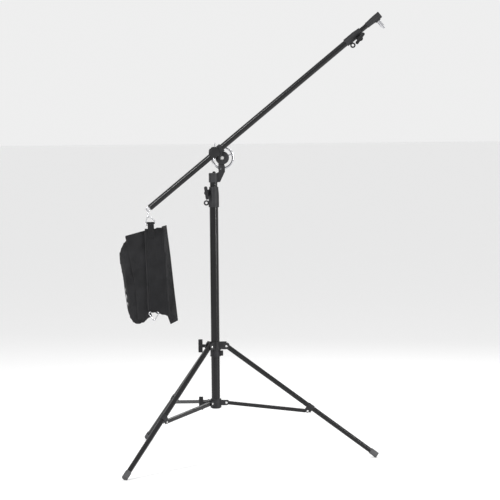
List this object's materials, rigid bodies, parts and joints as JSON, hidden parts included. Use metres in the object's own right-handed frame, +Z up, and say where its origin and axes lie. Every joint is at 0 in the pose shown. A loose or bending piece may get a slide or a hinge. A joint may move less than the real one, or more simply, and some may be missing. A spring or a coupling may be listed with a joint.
{
  "type": "boom light stand",
  "caption": "Folding tripod light stand with a telescopic riser, a tilting two-section boom with a spigot at its tip, and a saddle sandbag hung from its rear eye.",
  "frame": {"origin": "on the floor, on the axis of the column", "axes": "+Z up along the column, +X the way the boom points at rest, +Y to its left"},
  "size_m": [1.0889, 1.1476, 1.802],
  "materials": {
    "painted_tube": "gloss",
    "casting": "satin",
    "knob": "satin",
    "chrome": "polished",
    "zinc": "satin",
    "rubber": "matte",
    "plastic": "matte",
    "webbing": "matte",
    "fabric": "matte"
  },
  "bodies": {
    "column": {"column_tube": "painted_tube", "column_end_cap": "plastic", "lower_collar": "casting", "lower_collar_pins": "zinc", "lower_collar_rivets": "zinc", "column_clamp": "casting", "column_clamp_bolt": "zinc"},
    "lower_knob": {"lower_collar_knob": "knob"},
    "upper": {"upper_collar": "casting", "upper_collar_sleeve": "casting", "upper_collar_rivets": "zinc"},
    "upper_knob": {"upper_collar_knob": "knob"},
    "clamp_knob": {"column_clamp_knob": "knob"},
    "riser": {"riser_tube": "painted_tube", "riser_guide_bush": "plastic", "riser_top_plug": "plastic"},
    "head": {"head_casting": "casting"},
    "head_knob": {"head_lock_knob": "knob"},
    "boom_grip": {"boom_clamp": "casting", "boom_clamp_liner": "plastic", "tilt_bolt": "zinc"},
    "wheel": {"tilt_handwheel": "chrome"},
    "grip_knob": {"boom_clamp_knob": "knob", "boom_clamp_bar": "chrome"},
    "boom": {"boom_outer_tube": "painted_tube", "boom_end_plug": "plastic", "boom_eye": "chrome", "boom_section_clamp": "casting", "boom_section_bolt": "zinc"},
    "section_knob": {"boom_section_knob": "knob"},
    "inner_boom": {"boom_inner_tube": "painted_tube", "boom_inner_bush": "plastic", "tip_adapter": "casting", "tip_stud": "chrome", "tip_stud_screw": "zinc"},
    "link": {"hook_link": "chrome"},
    "bag": {"bag_top_ring": "chrome", "bag_strap": "webbing", "bag_web": "webbing", "bag_pouch_left": "fabric", "bag_pouch_right": "fabric", "bag_flap_left": "fabric", "bag_flap_right": "fabric", "bag_bottom_ring": "chrome", "bag_bottom_strap": "webbing"},
    "brace_1": {"brace_1": "painted_tube"},
    "leg_1": {"leg_tube_1": "painted_tube", "leg_foot_1": "rubber", "leg_bracket_1": "casting", "leg_pins_1": "zinc"},
    "brace_2": {"brace_2": "painted_tube"},
    "leg_2": {"leg_tube_2": "painted_tube", "leg_foot_2": "rubber", "leg_bracket_2": "casting", "leg_pins_2": "zinc"},
    "brace_3": {"brace_3": "painted_tube"},
    "leg_3": {"leg_tube_3": "painted_tube", "leg_foot_3": "rubber", "leg_bracket_3": "casting", "leg_pins_3": "zinc"}
  },
  "joints": [
    {"name": "fold", "type": "slide", "parent": "column", "child": "upper", "axis": [0, 0, 1], "range_m": [0, 0.52254]},
    {"name": "riser_lift", "type": "slide", "parent": "column", "child": "riser", "axis": [0, 0, 1], "range_m": [0, 0.7]},
    {"name": "head_swivel", "type": "hinge", "parent": "riser", "child": "head", "pos_m": [0, 0, 1.14], "axis": [0, 0, 1], "continuous": true},
    {"name": "boom_tilt", "type": "hinge", "parent": "head", "child": "boom_grip", "pos_m": [0.036, 0, 1.222], "axis": [0, -1, 0], "range_deg": [-60, 12]},
    {"name": "boom_shift", "type": "slide", "parent": "boom_grip", "child": "boom", "axis": [0.7724, 0, 0.6351], "range_m": [-0.25, 0.05]},
    {"name": "boom_extend", "type": "slide", "parent": "boom", "child": "inner_boom", "axis": [0.7724, 0, 0.6351], "range_m": [0, 0.9]},
    {"name": "hook_hang", "type": "hinge", "parent": "boom", "child": "link", "pos_m": [-0.26482, -0.0175, 1.01788], "axis": [0, -1, 0], "range_deg": [-12, 60]},
    {"name": "bag_swing", "type": "hinge", "parent": "link", "child": "bag", "pos_m": [-0.26482, -0.0175, 0.98468], "axis": [0, 1, 0], "range_deg": [-10, 10]},
    {"name": "lower_knob_turn", "type": "hinge", "parent": "column", "child": "lower_knob", "pos_m": [-0.035, 0, 0.2255], "axis": [-1, 0, 0], "continuous": true},
    {"name": "upper_knob_turn", "type": "hinge", "parent": "upper", "child": "upper_knob", "pos_m": [-0.035, 0, 0.4595], "axis": [-1, 0, 0], "continuous": true},
    {"name": "clamp_knob_turn", "type": "hinge", "parent": "column", "child": "clamp_knob", "pos_m": [-0.028, -0.01, 1.08122], "axis": [0, -1, 0], "continuous": true},
    {"name": "head_knob_turn", "type": "hinge", "parent": "head", "child": "head_knob", "pos_m": [0, 0.028, 1.14], "axis": [0, 1, 0], "continuous": true},
    {"name": "wheel_turn", "type": "hinge", "parent": "boom_grip", "child": "wheel", "pos_m": [0.036, 0.025, 1.222], "axis": [0, 1, 0], "continuous": true},
    {"name": "grip_knob_turn", "type": "hinge", "parent": "boom_grip", "child": "grip_knob", "pos_m": [0.0055, -0.038, 1.245], "axis": [0, -1, 0], "continuous": true},
    {"name": "section_knob_turn", "type": "hinge", "parent": "boom", "child": "section_knob", "pos_m": [0.59547, -0.0175, 1.69551], "axis": [0, -1, 0], "continuous": true},
    {"name": "brace_1_fold", "type": "hinge", "parent": "column", "child": "brace_1", "pos_m": [0.043, 0, 0.228], "axis": [0, -1, 0], "range_deg": [0, 95.61]},
    {"name": "leg_1_fold", "type": "hinge", "parent": "brace_1", "child": "leg_1", "pos_m": [0.37209, 0, 0.19161], "axis": [0, -1, 0], "range_deg": [-146.06, 0]},
    {"name": "brace_2_fold", "type": "hinge", "parent": "column", "child": "brace_2", "pos_m": [-0.0215, 0.03724, 0.228], "axis": [0.866, 0.5, 0], "range_deg": [0, 95.61]},
    {"name": "leg_2_fold", "type": "hinge", "parent": "brace_2", "child": "leg_2", "pos_m": [-0.18605, 0.32224, 0.19161], "axis": [0.866, 0.5, 0], "range_deg": [-146.06, 0]},
    {"name": "brace_3_fold", "type": "hinge", "parent": "column", "child": "brace_3", "pos_m": [-0.0215, -0.03724, 0.228], "axis": [-0.866, 0.5, 0], "range_deg": [0, 95.61]},
    {"name": "leg_3_fold", "type": "hinge", "parent": "brace_3", "child": "leg_3", "pos_m": [-0.18605, -0.32224, 0.19161], "axis": [-0.866, 0.5, 0], "range_deg": [-146.06, 0]}
  ],
  "couplings": [
    {"joint": "hook_hang", "follows": "boom_tilt", "ratio": -1},
    {"joint": "brace_1_fold", "follows": "fold", "rad_per_m": 3.193},
    {"joint": "leg_1_fold", "follows": "fold", "rad_per_m": -4.8781},
    {"joint": "brace_2_fold", "follows": "fold", "rad_per_m": 3.193},
    {"joint": "leg_2_fold", "follows": "fold", "rad_per_m": -4.8781},
    {"joint": "brace_3_fold", "follows": "fold", "rad_per_m": 3.193},
    {"joint": "leg_3_fold", "follows": "fold", "rad_per_m": -4.8781}
  ]
}
